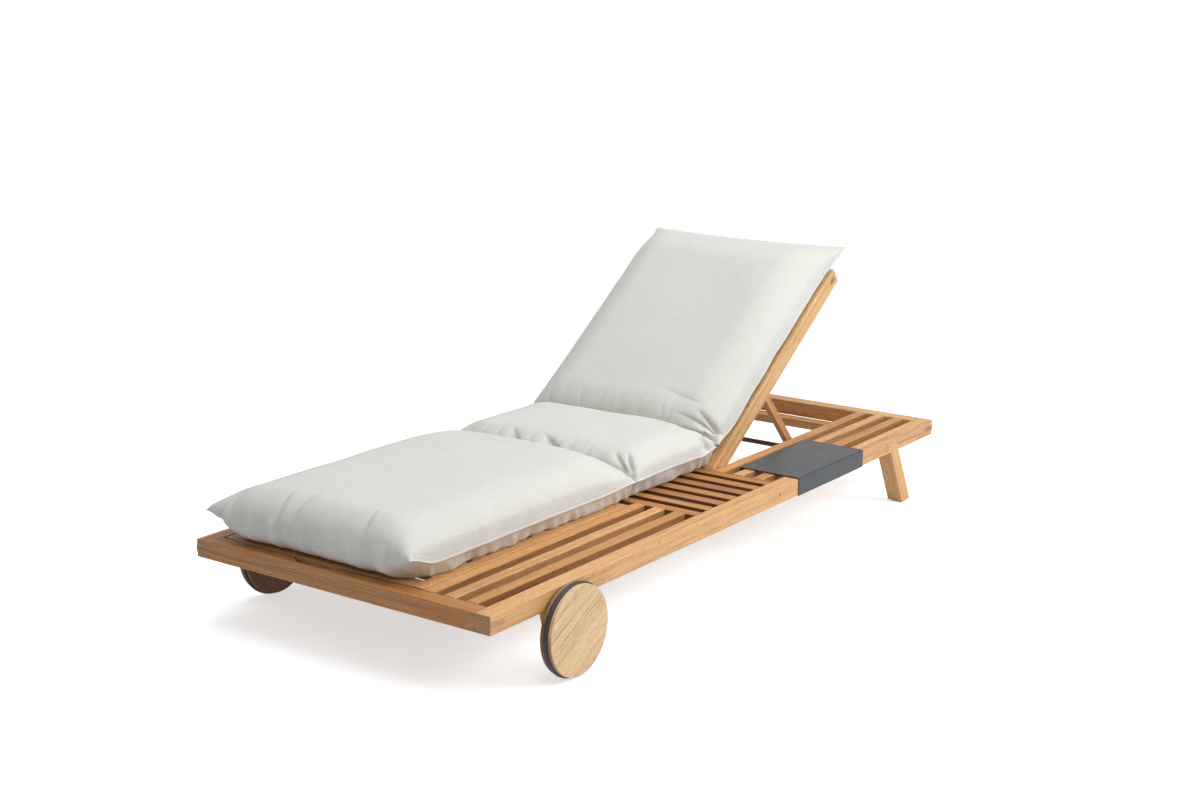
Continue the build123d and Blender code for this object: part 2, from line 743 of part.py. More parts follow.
swing = radians(prop_lean)
prop_frame = Plane(origin=(0, pivot_y, pivot_z), x_dir=(1, 0, 0), z_dir=(0, cos(swing), sin(swing)))
leg_pivot_y = leg_rest_y - leg_prop_pivot_along
leg_pivot_z = hinge_z - prop_pivot_drop
leg_prop_frame = Plane(origin=(0, leg_pivot_y, leg_pivot_z), x_dir=(-1, 0, 0), z_dir=(0, 0, 1))
prop_inset = stile_width + prop_side_gap
prop("prop", prop_frame, (panel_left + prop_inset, panel_right - prop_inset), prop_length)
prop("leg_prop", leg_prop_frame, (prop_inset - panel_right, -panel_left - prop_inset), leg_prop_length)


# Mattress sections: crowned, with drawn-in sides and rolled ends
def pad(label, frame, y, base, crown, side_seam, ends):
    """A mattress section over a span of y, resting on a height in its frame.

    Each end is given by the height of its tip, the length that it rolls over and its shares.
    """
    x = (bed_left - pad_left_reach, bed_right - pad_right_setback)
    stations = []
    for start, sign, (tip, roll, shares) in zip(y, (1, -1), ends):
        for place, top, down in shares[::sign]:
            stations.append((start + sign * min(roll, extent(y) / 2) * place, tip, top, down))
    with BuildPart() as piece:
        for station, tip, top, down in stations:
            share = 2 * (station - middle(y)) / extent(y)
            half = extent(x) / 2 - pad_draw_in * (1 - share ** 2) + pad_tip_reach * (1 - down)
            seam = tip + (side_seam - tip) * down
            low = base + (seam - pad_edge_half) * (1 - down)
            high = base + seam + pad_edge_half + (crown - seam - pad_edge_half) * top
            rise = high - base - seam
            shoulder = half - pad_shoulder
            roll_x = half - pad_shoulder * pad_roll_across_share
            roll_z = base + seam + rise * pad_roll_up_share
            shoulder_z = base + seam + rise * pad_shoulder_share
            foot = half - pad_contact_inset
            plane = Plane(origin=frame.from_local_coords(Vector(middle(x), station, 0)),
                          x_dir=frame.x_dir, z_dir=-frame.y_dir)
            with BuildSketch(plane):
                with BuildLine():
                    Polyline((-half, base + seam), (-foot, low), (foot, low), (half, base + seam))
                    ThreePointArc((half, base + seam), (roll_x, roll_z), (shoulder, shoulder_z))
                    ThreePointArc((shoulder, shoulder_z), (0, high), (-shoulder, shoulder_z))
                    ThreePointArc((-shoulder, shoulder_z), (-roll_x, roll_z), (-half, base + seam))
                make_face()
        loft(ruled=True)
    keep(piece, label)


foot_end = (pad_foot_tip, pad_end_roll, pad_roll_shares)
fold_end = (pad_fold_tip, pad_end_roll, pad_roll_shares)
seat_end = (pad_seat_end_tip, pad_end_roll, pad_roll_shares)
low_end = (pad_back_low_tip, pad_end_roll, pad_roll_shares)
top_end = (pad_back_top_tip, pad_top_taper, pad_taper_shares)
pad("mattress_leg", Plane.XY, (foot_face + pad_foot_inset, seat_front - pad_leg_end_gap),
    deck + rest_clearance, pad_leg_crown, pad_leg_seam, (foot_end, fold_end))
pad("mattress_seat", Plane.XY, (seat_front + pad_seat_front_gap, seat_back + pad_seat_end_gap),
    deck + rest_clearance, pad_seat_crown, pad_seat_seam, (fold_end, seat_end))
pad("mattress_back", backrest_frame, (pad_back_start, backrest_length + pad_overhang),
    rail / 2 + rest_clearance, pad_back_crown, pad_back_seam, (low_end, top_end))

# Places and ratios of the moving joints
prop_ratio = (backrest_angle + 90 - prop_lean) / backrest_angle
leg_rise = radians(leg_rest_highest)
leg_pivot_rise = leg_prop_pivot_along * sin(leg_rise) - prop_pivot_drop * cos(leg_rise)
leg_foot_drop = leg_pivot_rise + rail / 2 - prop_depth / 2 - leg_prop_clearance
leg_swing = degrees(asin(leg_foot_drop / leg_prop_length))
leg_prop_ratio = (leg_swing + leg_rest_highest) / leg_rest_highest
print(f"backrest hinge {backrest_y:.2f} {hinge_z:.2f}, leg rest hinge {leg_rest_y:.2f}")
print(f"prop pivot {pivot_y:.2f} {pivot_z:.2f}, ratio {prop_ratio:.5f}")
print(f"prop foot {prop_foot_y:.2f} {prop_foot_z:.2f}")
print(f"leg prop pivot {leg_pivot_y:.2f} {leg_pivot_z:.2f}, ratio {leg_prop_ratio:.5f}")
print(f"track {track_z:.2f}, tray {tray_y[0]:.1f} {tray_y[1]:.1f}, leg glides {glide_y:.2f}")
print(f"prop turns {prop_ratio * backrest_angle:.1f}")
print(f"leg prop turns {leg_prop_ratio * leg_rest_highest:.1f}")
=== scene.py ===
"""Dresses a low teak sun lounger with a side shelf, a sliding tray and a three-part linen mattress.

Metres throughout, in the frame's own axes: X across, Y from the foot end to the head end, Z up.
"""

import json
import logging
from dataclasses import dataclass
from enum import Enum
from math import cos, exp, hypot, pi, radians, sin, sqrt

import bmesh
import bpy
from bpy.types import Material, Node, NodeSocket as Socket, NodeTree as Tree, Object
from mathutils import Euler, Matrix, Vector, noise

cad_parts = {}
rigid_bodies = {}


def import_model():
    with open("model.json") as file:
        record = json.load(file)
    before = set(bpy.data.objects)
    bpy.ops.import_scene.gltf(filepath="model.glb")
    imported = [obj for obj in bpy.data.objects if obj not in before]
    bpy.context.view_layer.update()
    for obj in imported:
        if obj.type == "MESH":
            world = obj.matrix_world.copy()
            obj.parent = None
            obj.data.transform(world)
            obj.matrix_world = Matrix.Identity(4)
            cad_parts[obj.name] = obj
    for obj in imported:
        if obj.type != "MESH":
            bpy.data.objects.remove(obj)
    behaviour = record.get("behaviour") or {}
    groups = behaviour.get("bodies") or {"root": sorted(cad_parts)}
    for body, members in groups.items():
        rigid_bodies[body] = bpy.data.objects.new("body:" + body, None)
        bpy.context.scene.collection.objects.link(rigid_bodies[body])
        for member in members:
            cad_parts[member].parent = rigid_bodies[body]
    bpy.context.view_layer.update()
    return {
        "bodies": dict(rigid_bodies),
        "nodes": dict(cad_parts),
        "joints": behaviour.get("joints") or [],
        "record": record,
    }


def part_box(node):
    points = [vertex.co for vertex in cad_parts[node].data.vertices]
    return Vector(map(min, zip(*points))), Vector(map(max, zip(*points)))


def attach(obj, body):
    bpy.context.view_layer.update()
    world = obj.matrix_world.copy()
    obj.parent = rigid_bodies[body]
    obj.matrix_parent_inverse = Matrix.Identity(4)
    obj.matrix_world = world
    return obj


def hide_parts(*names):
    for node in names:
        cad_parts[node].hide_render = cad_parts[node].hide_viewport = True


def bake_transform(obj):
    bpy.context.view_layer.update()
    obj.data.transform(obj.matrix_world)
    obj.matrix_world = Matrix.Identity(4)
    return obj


Pair = tuple[float, float]
Triple = tuple[float, float, float]

LOG = logging.getLogger("lounger")
MM = 0.001
WHITE = (1.0, 1.0, 1.0, 1.0)
# The colour sockets of a mix node
MIX_A, MIX_B, MIX_COLOUR = 6, 7, 2
# How far apart the rings of a wave texture lie at a scale of one
WAVE_PERIOD = pi / 10
# How the mattress lies: its gap over the deck, its seams inside the solids' sides, and its leg seam's place
DECK_GAP, SIDE_INSET, SEAM_PAST_HINGE = 0.3 * MM, 8 * MM, 38 * MM
# What a mattress section's own sizes are multiplied by to find its place in each noise
WANDER_SEED, PUCKER_SEED, PLEAT_SEED, LUMP_SEED, CRINKLE_PLACE = 30, 40, 70, 90, 3.7
# The creases of each section, in rows: place across and run in millimetres, heading in degrees from across
# the bed, and length, width and depth in millimetres. The leg section's runs start at the foot end.
LEG_FOLDS = (
    (-165, 10, 82, 120, 5, 13),
    (-205, 12, 100, 90, 5, 8),
    (-350, 14, 96, 70, 5, 6),
    (60, 12, 105, 100, 5, 8),
)
SEAT_FOLDS = (
    (-180, -146, 138, 75, 4, 13),
    (-52, -142, 153, 85, 4, 19),
    (166, -148, 149, 70, 4, 16),
    (186, -140, 138, 62, 4, 17),
    (212, 180, 163, 62, 4, 18),
    (150, 190, 172, 120, 6, 7),
)
BACK_FOLDS = (
    (212, 98, 158, 95, 5, 17),
    (120, 150, 168, 150, 8, 5),
    (208, 90, 172, 150, 5, 12),
)


def clamp(share: float) -> float:
    """Holds a share between nought and one."""
    return min(max(share, 0.0), 1.0)


def ease(share: float) -> float:
    """Turns smoothly from nought to one."""
    share = clamp(share)
    return share * share * (3 - 2 * share)


def linear(hex_colour: str) -> tuple[float, ...]:
    """Turns an sRGB hex colour into linear values.

    Args:
        hex_colour: Six hex digits.
    Returns:
        Red, green, blue and an alpha of one.
    """
    shares = [value / 255 for value in bytes.fromhex(hex_colour)]
    return tuple(s / 12.92 if s <= 0.04045 else ((s + 0.055) / 1.055) ** 2.4 for s in shares) + (1.0,)


def fill(node: Node, inputs: dict) -> None:
    """Sets or links a node's inputs.

    Args:
        node: The node.
        inputs: Values, sockets, or nodes for their first output, by input name or number.
    """
    for key, value in inputs.items():
        if isinstance(value, Node):
            value = value.outputs[0]
        if isinstance(value, Socket):
            node.id_data.links.new(value, node.inputs[key])
        else:
            node.inputs[key].default_value = value


def add_node(tree: Tree, kind: str, inputs: dict | None = None, **settings: object) -> Node:
    """Adds a shader node with its settings, values and links.

    Args:
        tree: The material's node tree.
        kind: The node's type name without ShaderNode, as in TexNoise.
        inputs: What its inputs get, as fill takes it.
        settings: The node's own properties.
    Returns:
        The new node.
    """
    node = tree.nodes.new(f"ShaderNode{kind}")
    for name, value in settings.items():
        setattr(node, name, value)
    fill(node, inputs or {})
    return node


def add_object(name: str, data: bpy.types.ID) -> Object:
    """Adds an object to the scene, at the origin and unturned."""
    piece = bpy.data.objects.new(name, data)
    bpy.context.scene.collection.objects.link(piece)
    return piece


def new_material(name: str) -> tuple[Material, Tree, Node]:
    """Makes a material with a bare surface shader.

    Args:
        name: The material's name.
    Returns:
        The material, its tree and its surface shader.
    """
    material = bpy.data.materials.new(name)
    material.use_nodes = True
    tree = material.node_tree
    tree.nodes.clear()
    shader = add_node(tree, "BsdfPrincipled")
    add_node(tree, "OutputMaterial", {"Surface": shader.outputs["BSDF"]})
    return material, tree, shader


def dress(piece: Object, material: Material) -> None:
    """Gives a piece its only material, and reports it."""
    piece.data.materials.clear()
    piece.data.materials.append(material)
    LOG.info("%s: %s", piece.name, material.name)


class Run(Enum):
    """Which way a timber's grain runs."""

    ACROSS = "across the lounger"
    ALONG = "along the lounger, or up from it by a pitch"


@dataclass(frozen=True)
class TeakTone:
    """The colours of one board of teak: its early wood, its late wood and its brown streaks."""

    light: str
    middle: str
    streak: str


@dataclass(frozen=True)
class Grain:
    """The marks in a surface: how long and wide they are, and the noise values that they show between."""

    length: float
    width: float
    low: float = 0.0
    high: float = 1.0
    detail: float = 2.0
    roughness: float = 0.6

    def marks(self, tree: Tree, place: Socket) -> Socket:
        """Draws the marks.

        Args:
            tree: The material's node tree.
            place: The coordinates to draw them in.
        Returns:
            Nought between the marks and one in them.
        """
        scale = add_node(tree, "Mapping", {
            "Vector": place, "Scale": (1 / self.length, 1 / self.width, 1 / self.width)})
        cloud = add_node(tree, "TexNoise", {
            "Vector": scale, "Scale": 1.0, "Detail": self.detail, "Roughness": self.roughness})
        return add_node(tree, "MapRange", {
            "Value": cloud, "From Min": self.low, "From Max": self.high}).outputs[0]


@dataclass(frozen=True)
class Teak:
    """Planed and lightly oiled teak: straight fine grain, brown streaks, short dark pores, darker end grain.

    The pores and streaks are drawn about four times as wide as real ones, so that they show.
    """

    tones: tuple[TeakTone, ...] = (
        TeakTone("DBA568", "BC7F43", "80501F"),
        TeakTone("E2B078", "C78C50", "935F2F"),
        TeakTone("CC9354", "AC7038", "744522"),
        TeakTone("DFB07A", "CA9052", "9D6734"),
    )
    # The pores' colour, which the knots and the painted gap shade also use
    pore: str = "5E3A1E"
    end_light: str = "AE8558"
    end_dark: str = "85603A"
    streaks: Grain = Grain(150 * MM, 1.7 * MM, 0.4, 0.6)
    bands: Grain = Grain(900 * MM, 24 * MM, 0.44, 0.66)
    pores: Grain = Grain(22 * MM, 1.1 * MM, 0.59, 0.7, 1.0)
    end_dots: Grain = Grain(1.7 * MM, 1.7 * MM, 0.35, 0.65)
    board_step: Triple = (1.37, 0.173, 0.291)
    heart: Triple = (0.0, 0.11, -0.05)
    ring_stretch: float = 0.06
    ring_spacing: float = 6 * MM
    ring_wander: float = 3.0
    ring_ripple: float = 9.0
    pore_share: float = 0.6
    # Painted shade: how dark the upright faces of boards get in the gaps between them, towards the pore
    # colour
    gap_shade_share: float = 0.0
    knot_share: float = 0.85
    knot_core: float = 1.6 * MM
    knot_edge: float = 6.4 * MM
    end_band: Pair = (0.6, 0.8)
    upright_band: Pair = (0.5, 0.2)
    brown_band: Pair = (-0.4, 1.2)
    brown_share: float = 0.8
    relief: float = 0.25 * MM
    relief_strength: float = 0.5
    roughness: Pair = (0.44, 0.58)

    def material(self, name: str, run: Run = Run.ACROSS, pitch: float = 0.0, board: int = 0,
                 knot: Triple | None = None) -> Material:
        """Makes the teak of one board.

        Args:
            name: The material's name.
            run: Which way the grain runs.
            pitch: How far a grain along the lounger rises towards the head end, in radians.
            board: The board's number, which picks its tone and its part of the figure.
            knot: The place of a small dark knot, if the board has one.
        Returns:
            The material.
        """
        tone = self.tones[board % len(self.tones)]
        material, tree, shader = new_material(name)
        turn = (0.0, 0.0, 0.0) if run is Run.ACROSS else (-pitch, 0.0, -pi / 2)
        place = tuple(board * step for step in self.board_step)
        coords = add_node(tree, "TexCoord")
        figure = add_node(tree, "Mapping", {
            "Vector": coords.outputs["Object"], "Rotation": turn, "Location": place}).outputs["Vector"]
        streak = self.streaks.marks(tree, figure)
        pore = self.pores.marks(tree, figure)
        pore_depth = add_node(tree, "MapRange", {"Value": pore, "To Max": self.pore_share})
        layers = [
            (self.late_wood(tree, figure, streak), tone.middle),
            (self.brown(tree, figure, streak), tone.streak),
            (pore_depth.outputs[0], self.pore),
        ]
        # Painted shade on the upright faces, where the gaps between boards lie, in the pore colour
        if self.gap_shade_share:
            layers.append((self.painted_gap_shade(tree, coords.outputs["Normal"]), self.pore))
        if knot:
            layers.append((self.knot(tree, coords.outputs["Object"], knot), self.pore))
        wood = linear(tone.light)
        for share, colour in layers:
            wood = add_node(tree, "Mix", {
                0: share, MIX_A: wood, MIX_B: linear(colour)}, data_type="RGBA").outputs[MIX_COLOUR]
        end_wood = add_node(tree, "Mix", {
            0: self.end_dots.marks(tree, figure), MIX_A: linear(self.end_dark),
            MIX_B: linear(self.end_light)}, data_type="RGBA")
        facing = add_node(tree, "Mapping", {
            "Vector": coords.outputs["Normal"], "Rotation": turn}, vector_type="VECTOR")
        along = add_node(tree, "SeparateXYZ", {"Vector": facing}).outputs[0]
        square = add_node(tree, "Math", {0: along, 1: along}, operation="MULTIPLY")
        end = add_node(tree, "MapRange", {
            "Value": square, "From Min": self.end_band[0], "From Max": self.end_band[1]})
        colour = add_node(tree, "Mix", {
            0: end, MIX_A: wood, MIX_B: end_wood.outputs[MIX_COLOUR]}, data_type="RGBA")
        height = add_node(tree, "Math", {0: streak, 1: pore}, operation="SUBTRACT")
        bump = add_node(tree, "Bump", {
            "Height": height, "Distance": self.relief, "Strength": self.relief_strength})
        rough = add_node(tree, "MapRange", {
            "Value": streak, "To Min": self.roughness[0], "To Max": self.roughness[1]})
        fill(shader, {"Base Color": colour.outputs[MIX_COLOUR], "Roughness": rough, "Normal": bump})
        return material

    def late_wood(self, tree: Tree, figure: Socket, streak: Socket) -> Socket:
        """Draws the late wood, which follows the growth rings and the streaks.

        Args:
            tree: The material's node tree.
            figure: The board's own coordinates, with its length along X.
            streak: The streaks.
        Returns:
            The share of late wood.
        """
        squeezed = add_node(tree, "Mapping", {
            "Vector": figure, "Location": self.heart, "Scale": (self.ring_stretch, 1.0, 1.0)})
        rings = add_node(tree, "TexWave", {
            "Vector": squeezed, "Scale": WAVE_PERIOD / self.ring_spacing, "Distortion": self.ring_wander,
            "Detail Scale": self.ring_ripple}, wave_type="RINGS", rings_direction="X", wave_profile="SAW")
        late = add_node(tree, "Math", {0: rings.outputs[1], 1: streak, 2: streak}, operation="MULTIPLY_ADD")
        return add_node(tree, "MapRange", {"Value": late, "From Max": 2.0}).outputs[0]

    def brown(self, tree: Tree, figure: Socket, streak: Socket) -> Socket:
        """Gives the share of brown, which lies in broad bands and is strongest in their streaks."""
        strength = add_node(tree, "MapRange", {
            "Value": streak, "From Min": self.brown_band[0], "From Max": self.brown_band[1],
            "To Max": self.brown_share})
        return add_node(tree, "Math", {
            0: self.bands.marks(tree, figure), 1: strength}, operation="MULTIPLY").outputs[0]

    def painted_gap_shade(self, tree: Tree, normal: Socket) -> Socket:
        """Gives the share of painted shade on a board's upright faces, where the gaps between boards lie."""
        upright = add_node(tree, "SeparateXYZ", {"Vector": normal}).outputs[2]
        return add_node(tree, "MapRange", {
            "Value": add_node(tree, "Math", {0: upright, 1: upright}, operation="MULTIPLY"),
            "From Min": self.upright_band[0], "From Max": self.upright_band[1],
            "To Max": self.gap_shade_share}).outputs[0]

    def knot(self, tree: Tree, coords: Socket, place: Triple) -> Socket:
        """Gives the share of a pin knot's colour round its place."""
        gap = add_node(tree, "VectorMath", {0: coords, 1: place}, operation="DISTANCE")
        return add_node(tree, "MapRange", {
            "Value": gap.outputs["Value"], "From Min": self.knot_core, "From Max": self.knot_edge,
            "To Min": self.knot_share, "To Max": 0.0}).outputs[0]


@dataclass(frozen=True)
class SmoothFinish:
    """An even finish of one colour, with a fine relief and a slightly uneven shine.

    Its grain is drawn about twice as coarse as a real one, so that it shows.
    """

    colour: str
    roughness: Pair
    shine_grain: Grain = Grain(0.8 * MM, 0.8 * MM, roughness=0.5)
    relief_grain: Grain = Grain(0.8 * MM, 0.8 * MM, roughness=0.5)
    relief: float = 0.05 * MM
    relief_strength: float = 0.4
    wear: float = 1.25
    dust: float = 0.004
    metallic: float = 0.0

    def material(self, name: str) -> Material:
        """Makes the material.

        Args:
            name: The material's name.
        Returns:
            The material.
        """
        material, tree, shader = new_material(name)
        coords = add_node(tree, "TexCoord").outputs["Object"]
        shine = self.shine_grain.marks(tree, coords)
        rough = add_node(tree, "MapRange", {
            "Value": shine, "To Min": self.roughness[0], "To Max": self.roughness[1]})
        colour = linear(self.colour)
        if self.wear > 1:
            worn = tuple(min(1.0, channel * self.wear + self.dust) for channel in colour[:3]) + (1.0,)
            colour = add_node(tree, "Mix", {
                0: shine, MIX_A: colour, MIX_B: worn}, data_type="RGBA").outputs[MIX_COLOUR]
        fill(shader, {"Base Color": colour, "Roughness": rough, "Metallic": self.metallic})
        if self.relief:
            bump = add_node(tree, "Bump", {
                "Height": self.relief_grain.marks(tree, coords), "Distance": self.relief,
                "Strength": self.relief_strength})
            fill(shader, {"Normal": bump})
        return material


@dataclass(frozen=True)
class Moulded(SmoothFinish):
    """A moulded rubber or nylon: one dull colour with a fine even grain."""


@dataclass(frozen=True)
class PowderCoat(SmoothFinish):
    """Anthracite powder coat on steel sheet: a fine orange peel, and a dull shine with broad faint clouds."""

    colour: str = "292D31"
    roughness: Pair = (0.35, 0.52)
    shine_grain: Grain = Grain(71.43 * MM, 71.43 * MM, roughness=0.5)
    relief_grain: Grain = Grain(1.6 * MM, 1.6 * MM, detail=3.0)
    relief: float = 0.06 * MM
    relief_strength: float = 0.5
    wear: float = 1.2
    dust: float = 0.0


@dataclass(frozen=True)
class BrushedSteel(SmoothFinish):
    """Stainless steel brushed to a satin: bright metal whose fine lines make its shine uneven."""

    colour: str = "C4C3BF"
    roughness: Pair = (0.22, 0.44)
    shine_grain: Grain = Grain(0.6 * MM, 25 * MM, detail=1.0, roughness=0.5)
    relief: float = 0.0
    wear: float = 1.0
    dust: float = 0.0
    metallic: float = 1.0


@dataclass(frozen=True)
class Linen:
    """Plain-woven outdoor linen: slubby threads both ways, a dull soft face and a stitched line by each edge.

    The threads are drawn about three times as coarse as real ones, so that they show.
    """

    light: str = "DCDCD6"
    dark: str = "CCCBC4"
    stitch: str = "A8A296"
    thread: float = 1.7 * MM
    slub: float = 38 * MM
    relief: float = 0.5 * MM
    relief_strength: float = 0.35
    clouds_per_metre: float = 9.0
    cloud_share: float = 0.35
    tone_band: Pair = (0.62, 1.75)
    stitch_inset: float = 8 * MM
    stitch_width: float = 0.8 * MM
    stitch_pitch: float = 5 * MM
    stitch_level: float = -0.4
    stitch_share: float = 0.7
    roughness: float = 0.92
    sheen: float = 0.25
    sheen_roughness: float = 0.5
    specular: float = 0.2

    def material(self, name: str) -> Material:
        """Makes the material, which reads a piece's UV map in metres and its distance from a seam.

        Args:
            name: The material's name.
        Returns:
            The material.
        """
        material, tree, shader = new_material(name)
        cloth = add_node(tree, "UVMap", uv_map="cloth")
        seam = add_node(tree, "Attribute", attribute_name="seam_gap")

        def threads(scale: Triple) -> Socket:
            """Noise drawn out into threads."""
            mapped = add_node(tree, "Mapping", {"Vector": cloth, "Scale": scale})
            drawn = add_node(tree, "TexNoise", {"Vector": mapped, "Scale": 1.0}, noise_dimensions="2D")
            return drawn.outputs[0]

        warp = threads((1 / self.thread, 1 / self.slub, 1.0))
        weft = threads((1 / self.slub, 1 / self.thread, 1.0))
        weave = add_node(tree, "Math", {0: warp, 1: weft}, operation="ADD")
        cloud = add_node(tree, "TexNoise", {
            "Vector": cloth, "Scale": self.clouds_per_metre}, noise_dimensions="2D")
        tone = add_node(tree, "Math", {0: cloud, 1: self.cloud_share, 2: weave}, operation="MULTIPLY_ADD")
        share = add_node(tree, "MapRange", {
            "Value": tone, "From Min": self.tone_band[0], "From Max": self.tone_band[1]})
        fabric = add_node(tree, "Mix", {
            0: share, MIX_A: linear(self.dark), MIX_B: linear(self.light)}, data_type="RGBA")
        offset = add_node(tree, "Math", {
            0: seam.outputs["Fac"], 1: self.stitch_inset, 2: self.stitch_width}, operation="COMPARE")
        split = add_node(tree, "SeparateXYZ", {"Vector": cloth})
        way = add_node(tree, "Math", {0: split.outputs[0], 1: split.outputs[1]}, operation="ADD")
        beat = add_node(tree, "Math", {0: way, 1: 2 * pi / self.stitch_pitch}, operation="MULTIPLY")
        wave = add_node(tree, "Math", {0: beat}, operation="SINE")
        dash = add_node(tree, "Math", {0: wave, 1: self.stitch_level}, operation="GREATER_THAN")
        stitch = add_node(tree, "Math", {0: offset, 1: dash}, operation="MULTIPLY")
        soft = add_node(tree, "Math", {0: stitch, 1: self.stitch_share}, operation="MULTIPLY")
        colour = add_node(tree, "Mix", {
            0: soft, MIX_A: fabric.outputs[MIX_COLOUR], MIX_B: linear(self.stitch)}, data_type="RGBA")
        bump = add_node(tree, "Bump", {
            "Height": weave, "Distance": self.relief, "Strength": self.relief_strength})
        fill(shader, {
            "Base Color": colour.outputs[MIX_COLOUR], "Normal": bump, "Roughness": self.roughness,
            "Sheen Weight": self.sheen, "Sheen Roughness": self.sheen_roughness,
            "Specular IOR Level": self.specular})
        return material


@dataclass(frozen=True)
class BedPlane:
    """A plane that a mattress section lies on.

    A place on it is X across, a run along it from a line across the bed, and a height over it.
    """

    y: float
    z: float
    pitch: float = 0.0

    def place(self, x: float, run: float, height: float) -> Vector:
        """Gives the point at a place across, a run along the plane and a height over it."""
        return Vector((x, self.y + run * cos(self.pitch) - height * sin(self.pitch),
                       self.z + run * sin(self.pitch) + height * cos(self.pitch)))

    def read(self, point: Vector) -> Pair:
        """Gives a point's run along the plane and its height over it."""
        y, z = point.y - self.y, point.z - self.z
        return y * cos(self.pitch) + z * sin(self.pitch), z * cos(self.pitch) - y * sin(self.pitch)


class Close(Enum):
    """How an end of a mattress section is closed."""

    SEAM = "sewn to the next section"
    FOLD = "one piece of cloth folded round the filling"
    THIN = "sewn flat, with the filling thinning towards it"


@dataclass(frozen=True)
class SectionEnd:
    """One end of a mattress section, across the bed.

    Its roll is how far its rounding reaches over the top panel, and its tuck how far it reaches underneath.
    Its tips are how far its left and right corners reach past the side seams, and the tip rises how far they
    lift. The side spread makes the roll wider at the sides, and the side pinch makes the tuck shorter there.
    """

    run: float
    height: float
    close: Close
    roll: float
    tuck: float
    tips: Pair = (0.0, 0.0)
    tip_rises: Pair = (0.0, 0.0)
    side_spread: float = 0.0
    side_pinch: float = 0.75
    fold_power: float = 2.0
    seam_power: float = 2.2
    tuck_power: float = 1.3

    def swell(self, gap: float, side: float) -> float:
        """Gives how full the top panel is at a gap from this end: nought there and one beyond its roll.

        Args:
            gap: The distance from the end.
            side: The place across, from minus one at the left to one at the right.
        Returns:
            The fullness, which rises more slowly near the sides of a wide roll.
        """
        share = clamp(gap / (self.roll * (1 + self.side_spread * side ** 4)))
        if self.close is Close.THIN:
            return sin(pi / 2 * share)
        power = self.fold_power if self.close is Close.FOLD else self.seam_power
        return (1 - (1 - share) ** power) ** (1 / power)

    def lift(self, gap: float, side: float) -> float:
        """Gives the share of this end's height that the bottom panel keeps.

        Args:
            gap: The distance from the end.
            side: The place across, from minus one at the left to one at the right.
        Returns:
            The share, which drops at once at the sides of a sewn end, where the under panels meet.
        """
        if self.close is Close.FOLD:
            share = clamp(gap / self.tuck)
            return 1 - sqrt(1 - (1 - share) ** 2)
        share = clamp(gap / (self.tuck * (1 - self.side_pinch * abs(side) ** 5)))
        return (1 - share) ** self.tuck_power


@dataclass(frozen=True)
class Fold:
    """A crease in the cloth: where it starts, its heading from across the bed, and its size.

    Its width is that of the steep side, on the right of its heading. The other side is as many times wider as
    the slope says. Its shares are of its length: how far it begins before its start, how soon it is at its
    deepest, and how slowly it runs out.
    """

    x: float
    run: float
    heading: float
    length: float
    width: float
    depth: float
    slope: float = 4.0
    lead_share: float = 0.2
    rise_share: float = 0.3
    tail_share: float = 0.7

    @classmethod
    def from_rows(cls, rows: tuple[tuple[float, ...], ...], start: float = 0.0) -> tuple["Fold", ...]:
        """Reads folds from rows of millimetres and degrees.

        Args:
            rows: Place across, run, heading, length, width and depth of each fold.
            start: The run that the rows' runs are counted from, in metres.
        Returns:
            The folds.
        """
        return tuple(
            cls(x * MM, start + run * MM, radians(heading), length * MM, width * MM, depth * MM)
            for x, run, heading, length, width, depth in rows)

    def sink(self, x: float, run: float) -> float:
        """Gives the crease's depth at a point.

        Args:
            x: The place across.
            run: The run along the section's plane.
        Returns:
            How far the cloth sinks there.
        """
        dx, dy = x - self.x, run - self.run
        share = (dx * cos(self.heading) + dy * sin(self.heading)) / self.length
        if not -self.lead_share < share < 1:
            return 0.0
        away = (dy * cos(self.heading) - dx * sin(self.heading)) / self.width
        fade = ease((share + self.lead_share) / self.rise_share) * ease((1 - share) / self.tail_share)
        return self.depth * fade * (exp(-away / self.slope) if away > 0 else exp(away))


